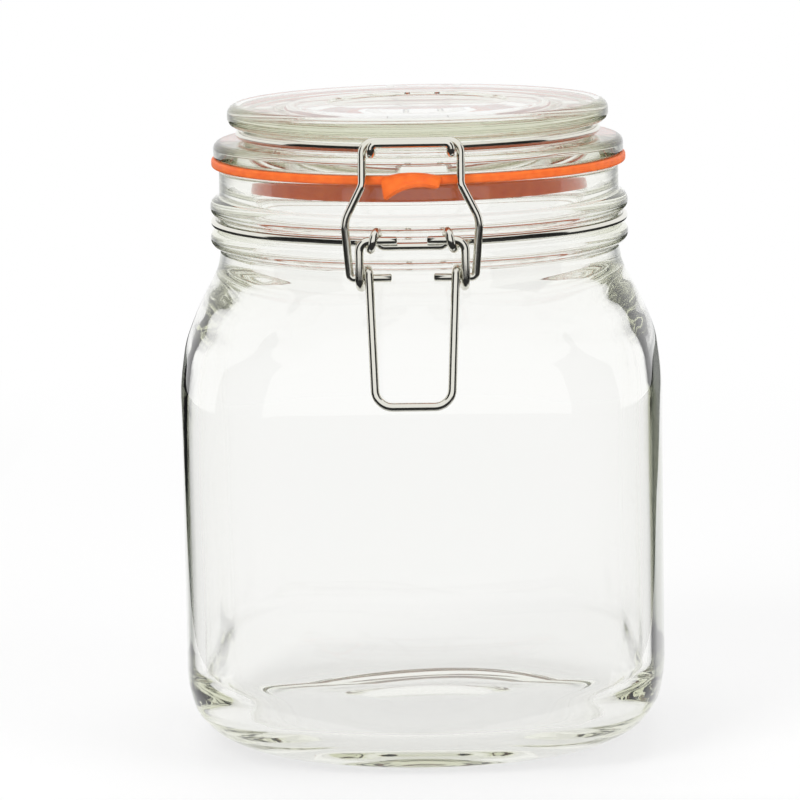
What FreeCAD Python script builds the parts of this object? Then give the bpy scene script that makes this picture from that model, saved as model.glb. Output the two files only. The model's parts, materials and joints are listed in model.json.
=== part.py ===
"""Clip-top glass canister: a rounded-square glass jar with a hinged glass lid, a rubber seal and a
bent-wire clasp. Millimetres, +Z up, origin at the centre of the base, the clasp on the -Y side."""

import FreeCAD, Part
import math
import os

Vec = FreeCAD.Vector
UP = Vec(0, 0, 1)
ORIGIN = Vec(0, 0, 0)

# Jar body
BODY_HALF_WIDTH = 57.0
BODY_CORNER_RADIUS = 30.0
BODY_FACE_RADIUS = 190.0
BODY_WALL = 3.6
BASE_FLOOR = 5.5
FOOT_RADIUS = 45.0
HEEL_HEIGHT = 18.0
BLEND_RUN = 4.0
NECK_START = 116.0
SHOULDER_RISE = 33.0
NECK_RADIUS = 47.2
RIM_WIDTH = 7.2

# Curves of the body: shares of the height, shares of the change in half width, and squareness
OUTER_HEEL = ((0.0, 0.0, 0.0), (0.08, 0.36, 0.2), (0.28, 0.69, 0.5), (0.6, 0.93, 0.83), (1.0, 1.0, 1.0))
INNER_HEEL = ((0.0, -0.042, 0.1), (0.11, 0.5, 0.4), (0.33, 0.82, 0.75), (0.9, 1.0, 1.0))
OUTER_SHOULDER = ((0.32, 0.11, 0.93), (0.54, 0.36, 0.7), (0.76, 0.72, 0.34), (0.9, 0.94, 0.1),
                  (1.0, 1.0, 0.0))
INNER_SHOULDER = ((0.3, 0.095, 0.9), (0.52, 0.34, 0.62), (0.74, 0.7, 0.3), (0.9, 0.94, 0.06),
                  (1.0, 1.0, 0.0))

# Jar finish: two beads with the wire groove between them, and the sealing rim
BEAD_HEIGHT = 2.2
BEAD_RADIUS = 2.3
LOWER_BEAD_RISE = 3.4
BEAD_SPACING = 7.4
RIM_RISE = 20.1
RIM_ROUND = 1.2

# Underside of the base and the dome over it inside
PUSH_UP_RADIUS = 21.0
PUSH_UP_HEIGHT = 4.0
FLOOR_DOME_SHARE = 0.7
FOOT_RING_WIDTH = 4.0
FOOT_RING_DEPTH = 0.9

# Seal
SEAL_THICKNESS = 2.2
SEAL_OVERHANG = 1.7
SEAL_BORE_CLEARANCE = 0.15
TAB_HALF_WIDTH = 8.8
TAB_REACH = 3.8
TAB_DROP = 4.2
TAB_ROOT = 3.0
TAB_TIP_THICKNESS = 1.9
TAB_UNDER_RUN = 0.6
TAB_OVER_RUN = 1.3
TAB_OVER_DROP = 0.4
TAB_TIP_RADIUS = 11.5

# Lid
PLUG_CLEARANCE = 0.8
PLUG_DEPTH = 4.0
PLUG_WALL = 5.7
PLUG_ROUND = 1.2
HOLLOW_HEIGHT = 11.0
HOLLOW_DRAFT = 3.0
HOLLOW_ROUND = 3.0
FLANGE_INSET = 0.5
FLANGE_THICKNESS = 3.9
FLANGE_LOWER_ROUND = 0.7
FLANGE_UPPER_ROUND = 1.7
LID_TOP_STEP = 3.4
LID_GROOVE_DEPTH = 4.0
LID_GROOVE_HEIGHT = 3.4
LID_TOP_THICKNESS = 5.2
LID_LOWER_ROUND = 2.2
LID_UPPER_ROUND = 2.4
LID_DISH_RADIUS = 21.0
LID_DISH_DEPTH = 0.5

# Wires
BAND_WIRE = 1.9
BAIL_WIRE = 1.9
LEVER_WIRE = 2.0
WIRE_CLEARANCE = 0.15
BAND_BEND = 2.0
RING_LEAVE_ANGLE = 24.0
RING_CORNERS = 4
SHORTEST_RUN = 0.0001
SAME_PLACE = 0.001

# Lid band: catch at the front, hinge bar at the back
CATCH_HALF_WIDTH = 9.0
CATCH_GAP = 1.8
CATCH_RISE = 2.5
CATCH_BEND = 1.2
CATCH_INSET = 3.0
HINGE_ARM_X = 8.0
HINGE_ARM_OVERHANG = 0.6
HINGE_BAR_GAP = 1.0
HINGE_REACH = 3.6
HINGE_RISE = 0.5
HINGE_EYE_X = 5.0

# Neck band's front eyes and the bridge between them
EYE_X = 9.9
EYE_PITCH = 0.75
PIVOT_REACH = 3.7
PIVOT_RISE = 0.9
BRIDGE_DROP = 1.6
BRIDGE_BEND = 1.4

# Bail
BAIL_PIN_DROP = 8.7
BAIL_PIN_INSET = 1.5
BAIL_PIN_END = 4.8
BAIL_PIN_BEND = 1.05
BAIL_SIDE_CLEARANCE = 0.25
BAIL_FLARE = 1.1
BAIL_FLARE_RISE = 13.0
BAIL_FLARE_BEND = 7.0
BAIL_NECK_DROP = 1.8
BAIL_NECK_LEAN = 0.3
BAIL_TOP_GAP = 1.05
BAIL_TOP_SIDE_GAP = 0.3
BAIL_NECK_BEND = 2.6
BAIL_TOP_BEND = 2.8
BAIL_LIFT_ROOM = 0.75

# Lever
PIVOT_END = 3.4
LEVER_BEND = 2.4
COIL_PITCH = 2.15
COIL_LEAD = 0.3
COIL_END_BEND = 0.98
HANDLE_DROP = 28.3
HANDLE_GAP_SHARE = 0.12
HANDLE_HALF_WIDTH = 8.6
HANDLE_BEND = 4.0

# Jar heights and radii that follow from the sizes above
SHOULDER_START = NECK_START - SHOULDER_RISE
MOUTH_RADIUS = NECK_RADIUS - RIM_WIDTH
FOOT_RING_RADIUS = FOOT_RADIUS - FOOT_RING_WIDTH
RIM_TOP = NECK_START + RIM_RISE
LOWER_BEAD_Z = NECK_START + LOWER_BEAD_RISE
UPPER_BEAD_Z = LOWER_BEAD_Z + BEAD_SPACING
NECK_WIRE_Z = (LOWER_BEAD_Z + UPPER_BEAD_Z) / 2
NECK_WIRE_RADIUS = NECK_RADIUS + BAND_WIRE / 2 + WIRE_CLEARANCE

# Seal and lid heights and radii
SEAL_TOP = RIM_TOP + SEAL_THICKNESS
SEAL_RADIUS = NECK_RADIUS + SEAL_OVERHANG
PLUG_RADIUS = MOUTH_RADIUS - PLUG_CLEARANCE
PLUG_HOLLOW_RADIUS = PLUG_RADIUS - PLUG_WALL
FLANGE_RADIUS = SEAL_RADIUS - FLANGE_INSET
FLANGE_TOP = SEAL_TOP + FLANGE_THICKNESS
LID_TOP_RADIUS = FLANGE_RADIUS - LID_TOP_STEP
LID_GROOVE_RADIUS = LID_TOP_RADIUS - LID_GROOVE_DEPTH
LID_TOP_BOTTOM = FLANGE_TOP + LID_GROOVE_HEIGHT
LID_TOP = LID_TOP_BOTTOM + LID_TOP_THICKNESS
LID_WIRE_Z = FLANGE_TOP + LID_GROOVE_HEIGHT / 2
LID_WIRE_RADIUS = LID_GROOVE_RADIUS + BAND_WIRE / 2 + WIRE_CLEARANCE

# Hinge, pivots and pins
HINGE_Y = SEAL_RADIUS + HINGE_REACH
HINGE_Z = SEAL_TOP + HINGE_RISE
HINGE_EYE_RADIUS = BAND_WIRE + WIRE_CLEARANCE
PIVOT_DEPTH = NECK_WIRE_RADIUS + PIVOT_REACH
PIVOT_Z = NECK_WIRE_Z + PIVOT_RISE
EYE_RADIUS = LEVER_WIRE / 2 + WIRE_CLEARANCE + BAND_WIRE / 2
LEVER_LEG_X = EYE_X + BAND_WIRE / 2 + LEVER_WIRE / 2 + WIRE_CLEARANCE
BAIL_PIN_DEPTH = PIVOT_DEPTH - BAIL_PIN_INSET
BAIL_PIN_Z = PIVOT_Z - BAIL_PIN_DROP
BAIL_PIN_X = LEVER_LEG_X + LEVER_WIRE / 2 + BAIL_WIRE / 2 + BAIL_SIDE_CLEARANCE
COIL_RADIUS = BAIL_WIRE / 2 + WIRE_CLEARANCE + LEVER_WIRE / 2

# Catch, bail and handle
VALLEY_Z = FLANGE_TOP + BAND_WIRE / 2 + WIRE_CLEARANCE
CATCH_Z = VALLEY_Z + CATCH_RISE
BAIL_FLARE_X = BAIL_PIN_X + BAIL_FLARE
BAIL_FLARE_Z = BAIL_PIN_Z + BAIL_FLARE_RISE
BAIL_NECK_Z = SEAL_TOP - BAIL_NECK_DROP
BAIL_TOP_X = CATCH_HALF_WIDTH + BAND_WIRE / 2 + BAIL_WIRE / 2 + BAIL_TOP_SIDE_GAP
BAIL_TOP_Z = VALLEY_Z + BAND_WIRE / 2 + BAIL_WIRE / 2 + BAIL_LIFT_ROOM
BAIL_TOP_DEPTH = LID_TOP_RADIUS + BAIL_WIRE / 2 + BAIL_TOP_GAP
CATCH_DEPTH = BAIL_TOP_DEPTH + BAIL_WIRE / 2 + BAND_WIRE / 2 + CATCH_GAP
HANDLE_GAP = HANDLE_GAP_SHARE * (BODY_HALF_WIDTH - NECK_RADIUS)
HANDLE_DEPTH = BODY_HALF_WIDTH + HANDLE_GAP + LEVER_WIRE / 2
HANDLE_Z = BAIL_PIN_Z - HANDLE_DROP


def section_wire(z, half_width, squareness, inset=0.0):
    """A closed rounded-square outline of eight tangent arcs; squareness 0 is a circle."""
    face = 1 / ((1 - squareness) / half_width + squareness / BODY_FACE_RADIUS)
    corner = half_width * (1 - squareness) + BODY_CORNER_RADIUS * squareness
    side = face - half_width
    centre = (math.sqrt(2 * (face - corner) ** 2 - side ** 2) - side) / 2 if squareness else 0.0
    half_angle = math.atan2(centre, centre + side) if squareness else math.pi / 8
    face -= inset
    corner -= inset
    edges = []
    for quarter in range(4):
        turn = math.radians(90 * quarter)

        def point(middle, radius, angle):
            local = middle + Vec(radius * math.sin(angle), -radius * math.cos(angle), z)
            return Vec(local.x * math.cos(turn) - local.y * math.sin(turn),
                       local.x * math.sin(turn) + local.y * math.cos(turn), z)

        face_middle = Vec(0, side, 0)
        corner_middle = Vec(centre, -centre, 0)
        face_angles = (-half_angle, 0, half_angle)
        corner_angles = (half_angle, math.pi / 4, math.pi / 2 - half_angle)
        edges.append(Part.Arc(*[point(face_middle, face, a) for a in face_angles]).toShape())
        edges.append(Part.Arc(*[point(corner_middle, corner, a) for a in corner_angles]).toShape())
    return Part.Wire(edges)


def loft(sections, inset=0.0):
    """A solid through rounded-square sections given as height, half width and squareness."""
    wires = [section_wire(z, width, square, inset) for z, width, square in sections]
    return Part.makeLoft(wires, True, False)


def revolve(points):
    """A full turn about Z of a closed outline of (radius, height) points."""
    outline = Part.makePolygon([Vec(r, 0, z) for r, z in points + points[:1]])
    return Part.Face(outline).revolve(ORIGIN, UP, 360)


def round_edge(solid, radius, z, rounding):
    """A turned solid with one of its circular edges rounded."""
    def at_place(edge):
        circle = edge.Curve
        return abs(circle.Radius - radius) < SAME_PLACE and abs(circle.Center.z - z) < SAME_PLACE

    circles = [edge for edge in solid.Edges if isinstance(edge.Curve, Part.Circle)]
    return solid.makeFillet(rounding, [edge for edge in circles if at_place(edge)])


def round_bead(radius, z):
    """A ring of round section on the neck."""
    return Part.makeTorus(radius, BEAD_RADIUS, Vec(0, 0, z), UP)


def rounded_path(corners):
    """Straight runs joined by tangent arcs, from (point, bend radius) pairs."""
    points = [Vec(*p) for p, _ in corners]
    edges = []
    start = points[0]
    for i in range(1, len(points) - 1):
        back = (points[i - 1] - points[i]).normalize()
        ahead = (points[i + 1] - points[i]).normalize()
        half = back.getAngle(ahead) / 2
        reach = corners[i][1] / math.tan(half)
        first = points[i] + back * reach
        last = points[i] + ahead * reach
        inner = (back + ahead).normalize()
        middle = points[i] + inner * (corners[i][1] / math.sin(half) - corners[i][1])
        if (first - start).Length > SHORTEST_RUN:
            edges.append(Part.LineSegment(start, first).toShape())
        edges.append(Part.Arc(first, middle, last).toShape())
        start = last
    if (points[-1] - start).Length > SHORTEST_RUN:
        edges.append(Part.LineSegment(start, points[-1]).toShape())
    return Part.Wire(edges)


def wire_solid(corners, diameter):
    """Round wire along a rounded path, with its volume compared with section times length."""
    path = rounded_path(corners)
    first = path.OrderedEdges[0]
    heading = first.tangentAt(first.FirstParameter)
    profile = Part.Wire(Part.makeCircle(diameter / 2, Vec(*corners[0][0]), heading))
    solid = path.makePipeShell([profile], True, False)
    expected = math.pi * diameter ** 2 / 4 * path.Length
    print("wire volume over section times length", round(solid.Volume / expected, 4))
    return solid


def mirrored(half):
    """The whole wire from its right half, given from the outer end to the middle."""
    return half + [((-x, y, z), bend) for (x, y, z), bend in reversed(half)]


def ring_corners(radius, z):
    """Right half of a ring in plan, from the back to the front, as corners bent to the radius."""
    step = (180 - 2 * RING_LEAVE_ANGLE) / RING_CORNERS
    reach = radius / math.cos(math.radians(step / 2))
    corners = []
    for i in range(RING_CORNERS):
        angle = math.radians(RING_LEAVE_ANGLE + step * (i + 0.5))
        corners.append(((reach * math.sin(angle), reach * math.cos(angle), z), radius))
    return corners


def ring_leave_y(radius, x):
    """Where the ring's straight tangent reaches an arm that stands at x."""
    angle = math.radians(RING_LEAVE_ANGLE)
    return radius * math.cos(angle) + (radius * math.sin(angle) - x) * math.tan(angle)


def jar_envelope(foot, shoulder, inset):
    """The lofted foot, the straight body and the lofted shoulder of one jar surface, fused."""
    width = BODY_HALF_WIDTH
    foot_top = foot[-1][0]
    foot = foot + [(foot_top + BLEND_RUN, width, 1)]
    shoulder = [(SHOULDER_START - BLEND_RUN, width, 1), (SHOULDER_START, width, 1)] + shoulder
    body_low = foot_top + BLEND_RUN
    body_high = SHOULDER_START - BLEND_RUN
    body = Part.Face(section_wire(body_low, width, 1, inset)).extrude(UP * (body_high - body_low))
    return loft(foot, inset).fuse([body, loft(shoulder, inset)])


def heel_stations(curve, low):
    """Sections of the heel from a height up, from its curve."""
    step = BODY_HALF_WIDTH - FOOT_RADIUS
    return [(low + HEEL_HEIGHT * up, FOOT_RADIUS + step * out, square) for up, out, square in curve]


def shoulder_stations(curve, top_half_width):
    """Sections of the shoulder up to the neck, from its curve."""
    step = BODY_HALF_WIDTH - top_half_width
    return [(SHOULDER_START + SHOULDER_RISE * up, BODY_HALF_WIDTH - step * into, square)
            for up, into, square in curve]


def glass_jar():
    outer_shoulder = shoulder_stations(OUTER_SHOULDER, NECK_RADIUS)
    outer = jar_envelope(heel_stations(OUTER_HEEL, 0), outer_shoulder, 0)
    inner_shoulder = shoulder_stations(INNER_SHOULDER, MOUTH_RADIUS + BODY_WALL)
    inner = jar_envelope(heel_stations(INNER_HEEL, BASE_FLOOR), inner_shoulder, BODY_WALL)
    neck = revolve([
        (MOUTH_RADIUS, NECK_START),
        (NECK_RADIUS, NECK_START),
        (NECK_RADIUS, RIM_TOP),
        (MOUTH_RADIUS, RIM_TOP),
    ])
    neck = round_edge(neck, NECK_RADIUS, RIM_TOP, RIM_ROUND)
    neck = round_edge(neck, MOUTH_RADIUS, RIM_TOP, RIM_ROUND)
    bead_ring = NECK_RADIUS + BEAD_HEIGHT - BEAD_RADIUS
    beads = [round_bead(bead_ring, z) for z in (LOWER_BEAD_Z, UPPER_BEAD_Z)]
    dome_ball = (PUSH_UP_RADIUS ** 2 + PUSH_UP_HEIGHT ** 2) / (2 * PUSH_UP_HEIGHT)
    push_up = Part.makeSphere(dome_ball, Vec(0, 0, PUSH_UP_HEIGHT - dome_ball))
    floor_crown = BASE_FLOOR + PUSH_UP_HEIGHT * FLOOR_DOME_SHARE
    floor_dome = Part.makeSphere(dome_ball, Vec(0, 0, floor_crown - dome_ball))
    ring_recess = Part.makeCylinder(FOOT_RING_RADIUS, FOOT_RING_DEPTH)
    shell = outer.fuse([neck] + beads)
    bore = Part.makeCylinder(MOUTH_RADIUS, 2 * RIM_RISE, Vec(0, 0, NECK_START))
    shell = shell.cut(inner.cut(floor_dome))
    shell = shell.cut([bore, ring_recess, push_up])
    return shell.removeSplitter()


def glass_lid():
    plug_bottom = SEAL_TOP - PLUG_DEPTH
    hollow_top = plug_bottom + HOLLOW_HEIGHT
    hollow_side = PLUG_HOLLOW_RADIUS - HOLLOW_DRAFT
    solid = revolve([
        (0, plug_bottom),
        (PLUG_RADIUS, plug_bottom),
        (PLUG_RADIUS, SEAL_TOP),
        (FLANGE_RADIUS, SEAL_TOP),
        (FLANGE_RADIUS, FLANGE_TOP),
        (LID_GROOVE_RADIUS, FLANGE_TOP),
        (LID_GROOVE_RADIUS, LID_TOP_BOTTOM),
        (LID_TOP_RADIUS, LID_TOP_BOTTOM),
        (LID_TOP_RADIUS, LID_TOP),
        (0, LID_TOP),
    ])
    solid = round_edge(solid, PLUG_RADIUS, plug_bottom, PLUG_ROUND)
    solid = round_edge(solid, FLANGE_RADIUS, SEAL_TOP, FLANGE_LOWER_ROUND)
    solid = round_edge(solid, FLANGE_RADIUS, FLANGE_TOP, FLANGE_UPPER_ROUND)
    solid = round_edge(solid, LID_TOP_RADIUS, LID_TOP_BOTTOM, LID_LOWER_ROUND)
    solid = round_edge(solid, LID_TOP_RADIUS, LID_TOP, LID_UPPER_ROUND)
    hollow = revolve([
        (0, plug_bottom),
        (PLUG_HOLLOW_RADIUS, plug_bottom),
        (hollow_side, hollow_top),
        (0, hollow_top),
    ])
    hollow = round_edge(hollow, hollow_side, hollow_top, HOLLOW_ROUND)
    dish = Part.makeCylinder(LID_DISH_RADIUS, LID_DISH_DEPTH, Vec(0, 0, LID_TOP - LID_DISH_DEPTH))
    return solid.cut([hollow, dish])


def rubber_seal():
    ring = Part.makeCylinder(SEAL_RADIUS, SEAL_THICKNESS, Vec(0, 0, RIM_TOP))
    root = SEAL_RADIUS - TAB_ROOT
    tip = SEAL_RADIUS + TAB_REACH
    low = RIM_TOP - TAB_DROP
    bend_under = SEAL_RADIUS + TAB_UNDER_RUN
    bend_over = SEAL_RADIUS + TAB_OVER_RUN
    under = [Vec(0, -root, RIM_TOP), Vec(0, -bend_under, RIM_TOP), Vec(0, TAB_TIP_THICKNESS - tip, low)]
    over = [Vec(0, -tip, low), Vec(0, -bend_over, SEAL_TOP - TAB_OVER_DROP), Vec(0, -SEAL_RADIUS, SEAL_TOP)]
    side = Part.Face(Part.makePolygon(under + over + [Vec(0, -root, SEAL_TOP), under[0]]))
    side.translate(Vec(-TAB_HALF_WIDTH, 0, 0))
    tip_middle = Vec(0, TAB_TIP_RADIUS - tip, low)
    tip_round = Part.makeCylinder(TAB_TIP_RADIUS, SEAL_TOP - low, tip_middle)
    tab = side.extrude(Vec(2 * TAB_HALF_WIDTH, 0, 0)).common(tip_round)
    bore = Part.makeCylinder(PLUG_RADIUS + SEAL_BORE_CLEARANCE, SEAL_THICKNESS, Vec(0, 0, RIM_TOP))
    return ring.fuse(tab).cut(bore).removeSplitter()


def lid_band():
    back = ring_leave_y(LID_WIRE_RADIUS, HINGE_ARM_X)
    front = ring_leave_y(LID_WIRE_RADIUS, CATCH_HALF_WIDTH)
    arm_z = max(LID_WIRE_Z, VALLEY_Z)
    valley_y = CATCH_INSET - FLANGE_RADIUS
    half = [((HINGE_BAR_GAP, HINGE_Y, HINGE_Z), 0),
            ((HINGE_ARM_X, HINGE_Y, HINGE_Z), BAND_BEND),
            ((HINGE_ARM_X, FLANGE_RADIUS + HINGE_ARM_OVERHANG, arm_z), BAND_BEND),
            ((HINGE_ARM_X, back, LID_WIRE_Z), BAND_BEND)]
    half += ring_corners(LID_WIRE_RADIUS, LID_WIRE_Z)
    half += [((CATCH_HALF_WIDTH, -front, LID_WIRE_Z), BAND_BEND),
             ((CATCH_HALF_WIDTH, valley_y, VALLEY_Z), BAND_BEND),
             ((CATCH_HALF_WIDTH, -CATCH_DEPTH, VALLEY_Z), CATCH_BEND),
             ((CATCH_HALF_WIDTH, -CATCH_DEPTH, CATCH_Z), CATCH_BEND)]
    return wire_solid(mirrored(half), BAND_WIRE)


def neck_band():
    back = ring_leave_y(NECK_WIRE_RADIUS, HINGE_EYE_X)
    front = ring_leave_y(NECK_WIRE_RADIUS, EYE_X)
    low = PIVOT_Z - EYE_RADIUS
    high = PIVOT_Z + EYE_RADIUS
    near = PIVOT_DEPTH - EYE_RADIUS
    far = PIVOT_DEPTH + EYE_RADIUS
    leg_y = HINGE_Y - HINGE_EYE_RADIUS
    eye_back = HINGE_Y + HINGE_EYE_RADIUS
    eye_low = HINGE_Z - HINGE_EYE_RADIUS
    eye_top = HINGE_Z + HINGE_EYE_RADIUS
    half = [((HINGE_EYE_X, HINGE_Y, eye_low), 0),
            ((HINGE_EYE_X, eye_back, eye_low), HINGE_EYE_RADIUS),
            ((HINGE_EYE_X, eye_back, eye_top), HINGE_EYE_RADIUS),
            ((HINGE_EYE_X, leg_y, eye_top), HINGE_EYE_RADIUS),
            ((HINGE_EYE_X, back, NECK_WIRE_Z), BAND_BEND)]
    half += ring_corners(NECK_WIRE_RADIUS, NECK_WIRE_Z)
    half += [((EYE_X, -front, NECK_WIRE_Z), BAND_BEND),
             ((EYE_X, -near, low), BAND_BEND),
             ((EYE_X - EYE_PITCH, -far, low), EYE_RADIUS),
             ((EYE_X - 2 * EYE_PITCH, -far, high), EYE_RADIUS),
             ((EYE_X - 3 * EYE_PITCH, -near, high), EYE_RADIUS),
             ((EYE_X - 3 * EYE_PITCH, -near, PIVOT_Z - BRIDGE_DROP), BRIDGE_BEND)]
    return wire_solid(mirrored(half), BAND_WIRE)


def catch_bail():
    lean = (BAIL_NECK_Z - BAIL_PIN_Z) / (BAIL_TOP_Z - BAIL_PIN_Z)
    neck_depth = BAIL_PIN_DEPTH - BAIL_NECK_LEAN * lean
    half = [((BAIL_PIN_END, -BAIL_PIN_DEPTH, BAIL_PIN_Z), 0),
            ((BAIL_PIN_X, -BAIL_PIN_DEPTH, BAIL_PIN_Z), BAIL_PIN_BEND),
            ((BAIL_FLARE_X, -BAIL_PIN_DEPTH, BAIL_FLARE_Z), BAIL_FLARE_BEND),
            ((BAIL_TOP_X, -neck_depth, BAIL_NECK_Z), BAIL_NECK_BEND),
            ((BAIL_TOP_X, -BAIL_TOP_DEPTH, BAIL_TOP_Z), BAIL_TOP_BEND)]
    return wire_solid(mirrored(half), BAIL_WIRE)


def closing_lever():
    low = BAIL_PIN_Z - COIL_RADIUS
    high = BAIL_PIN_Z + COIL_RADIUS
    near = BAIL_PIN_DEPTH - COIL_RADIUS
    far = BAIL_PIN_DEPTH + COIL_RADIUS
    lead = COIL_PITCH * COIL_LEAD
    inner = LEVER_LEG_X - COIL_PITCH
    end_bend = COIL_RADIUS * COIL_END_BEND
    half = [((PIVOT_END, -PIVOT_DEPTH, PIVOT_Z), 0),
            ((LEVER_LEG_X, -PIVOT_DEPTH, PIVOT_Z), LEVER_BEND),
            ((LEVER_LEG_X, -far, low), end_bend),
            ((LEVER_LEG_X - lead, -near, low), COIL_RADIUS),
            ((inner + lead, -near, high), COIL_RADIUS),
            ((inner, -far, high), end_bend),
            ((HANDLE_HALF_WIDTH, -HANDLE_DEPTH, HANDLE_Z), HANDLE_BEND)]
    return wire_solid(mirrored(half), LEVER_WIRE)


def main():
    os.makedirs("parts", exist_ok=True)
    makers = (glass_jar, glass_lid, rubber_seal, lid_band, neck_band, catch_bail, closing_lever)
    for maker in makers:
        shape = maker()
        solids = shape.Solids
        print(maker.__name__, "solids", len(solids), "valid", shape.isValid(), "volume", round(shape.Volume))
        solids[0].exportStep("parts/" + maker.__name__ + ".step")


main()
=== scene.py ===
"""Dresses the clip-top glass canister: smooth glass, orange rubber seal and plated wires, on a pale stage."""

import json
import math

import bmesh
import bpy
from mathutils import Euler, Matrix, Vector


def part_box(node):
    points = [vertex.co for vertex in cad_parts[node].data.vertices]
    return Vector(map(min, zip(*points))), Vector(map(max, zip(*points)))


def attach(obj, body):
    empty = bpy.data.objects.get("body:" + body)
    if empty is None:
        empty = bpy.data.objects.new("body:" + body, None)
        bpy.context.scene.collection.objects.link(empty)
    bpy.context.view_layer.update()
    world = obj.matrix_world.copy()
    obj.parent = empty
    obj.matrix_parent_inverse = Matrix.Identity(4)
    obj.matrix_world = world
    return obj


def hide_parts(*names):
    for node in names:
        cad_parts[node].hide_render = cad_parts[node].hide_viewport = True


bl_info = {
    "name": "Clip-top glass canister",
    "version": (1, 0, 0),
    "blender": (4, 5, 0),
    "location": "View3D > Sidebar > Canister",
    "description": "Models the glass, seal, wires and stage of a clip-top canister around its frame",
    "category": "Add Mesh",
}

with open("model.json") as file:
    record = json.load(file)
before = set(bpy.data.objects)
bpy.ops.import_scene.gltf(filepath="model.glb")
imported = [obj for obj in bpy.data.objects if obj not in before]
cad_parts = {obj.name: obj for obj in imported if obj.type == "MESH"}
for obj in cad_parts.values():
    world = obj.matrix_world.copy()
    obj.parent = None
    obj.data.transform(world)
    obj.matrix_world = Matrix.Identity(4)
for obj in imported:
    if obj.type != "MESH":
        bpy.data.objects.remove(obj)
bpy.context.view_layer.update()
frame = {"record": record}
JOINTS = {joint["name"]: joint for joint in frame["record"]["behaviour"]["joints"]}
HINGE_AT = Vector(JOINTS["lid_hinge"]["pos_m"])
PIVOT_AT = Vector(JOINTS["lever_pivot"]["pos_m"])
BAIL_PIN_AT = Vector(JOINTS["bail_pivot"]["pos_m"])
JAR_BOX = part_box("glass_jar")
LID_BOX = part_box("glass_lid")
SEAL_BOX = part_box("rubber_seal")
FULL_TURN = 2 * math.pi
TINY = 1e-6

# Looks
GLASS_IOR = 1.51
GLASS_DENSITY = 22
# Painted shade on the glass: the outer walls darken towards these tones at grazing angles, standing in for
# dark surroundings
EDGE_START, EDGE_FULL, EDGE_EASE = 0.62, 0.78, 0.95
PAINTED_EDGE_SHADE = (0.05, 0.06, 0.06)
PAINTED_EDGE_HALF_SHADE = (0.4, 0.42, 0.4)
EDGE_BLEND = 0.5
UPRIGHT_LIMIT, LEVEL_LIMIT = 0.25, 0.8
WHITE = (1, 1, 1)
# A bump is its strength and its depth; a span is the part of a noise that a ramp covers
RIPPLE_SCALE, RIPPLE_DETAIL, RIPPLE_STRETCH = 45, 1.5, (1, 1, 0.5)
RIPPLE_BUMP = (0.05, 0.0008)
FLECK_SCALE, FLECK_DETAIL, FLECK_SPAN = 420, 4, (0.3, 0.7)
RUBBER_ROUGH_SPAN, RUBBER_ROUGH = (0.2, 0.8), (0.38, 0.56)
RUBBER_SPECULAR, RUBBER_SCATTER, RUBBER_SCATTER_REACH = 0.4, 0.08, (0.0015, 0.0005, 0.0002)
GRAIN_SCALE, GRAIN_DETAIL, GRAIN_BUMP = 2600, 3, (0.25, 0.00006)
PLATE_SHEEN = (0.32, 0.32, 0.28)
CLOUD_SCALE, CLOUD_DETAIL, CLOUD_SPAN = 260, 4, (0.35, 0.68)
PLATE_ROUGH_SPAN, PLATE_ROUGH = (0.3, 0.75), (0.12, 0.27)
SCRATCH_SCALE, SCRATCH_DETAIL, SCRATCH_BUMP = 1500, 4, (0.12, 0.00004)

# Jar
CURVE_STEPS = 7
SIDE_ROWS = 8
GLASS_STEPS = 176
STRAIGHT_RUN = 0.004
PUSH_UP_HIGH, PUSH_UP_WIDE, PUSH_UP_STEPS, PUSH_UP_EASE = 0.004, 0.021, 12, 6
FOOT_RECESS = 0.0009
FOOT_RING = ((0.0300, FOOT_RECESS), (0.0395, FOOT_RECESS), (0.0405, 0.0007), (0.0412, 0.0002), (0.0418, 0.0),
             (0.0435, 0.0))
FLOOR_CROWN_SHARE, FLOOR_CROWN_REACH, FLOOR_STEPS = 0.7, 0.84, 10
FLOOR_LEDGE = (0.034, 0.026)
# Each row: share of the height, share of the reach or drop, squareness
HEEL_ROWS = ((0.08, 0.36, 0.2), (0.28, 0.69, 0.5), (0.6, 0.93, 0.83))
INNER_HEEL_ROWS = ((0.11, 0.5, 0.4), (0.33, 0.82, 0.75))
INNER_HEEL_TOP, INNER_FOOT_STEP, INNER_FOOT_SQUARE = 0.9, 0.0005, 0.1
SHOULDER_ROWS = ((0.32, 0.11, 0.93), (0.54, 0.36, 0.7), (0.76, 0.72, 0.34), (0.9, 0.94, 0.1))
INNER_SHOULDER_FIRST = (0.3, 0.13, 0.9)
INNER_SHOULDER_ROWS = ((0.52, 0.34, 0.62), (0.74, 0.7, 0.3), (0.9, 0.94, 0.06))
BEAD_RISE, BEAD_SPACING, BEAD_PROUD, BEAD_EASE, BEAD_STEPS = 0.0034, 0.0074, 0.0022, 0.0004, 14
RIM_DEPTH, RIM_ROUND = 0.004, 0.0013
# Each wave of the inner wall: turns round the axis, twist, climb, phase
WAVES = ((3, 9, 14, 1.3), (7, -5, 6, 0.4))

# Lid
LID_ARC_STEPS = 8
HOLLOW_DEPTH, HOLLOW_ROUND = 0.011, 0.003
PLUG_ROUND, PLUG_ROOT_ROUND = 0.0012, 0.0004
FLANGE_LOW_ROUND, FLANGE_TOP_ROUND = 0.0007, 0.0017
GROOVE_LOW_ROUND, GROOVE_TOP_ROUND = 0.0006, 0.0007
DISC_LOW_ROUND, DISC_TOP_ROUND = 0.0022, 0.0024
DISH_DEPTH, DISH_SLOPE, DISH_ROUND = 0.0005, 0.0006, 0.0004

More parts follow.
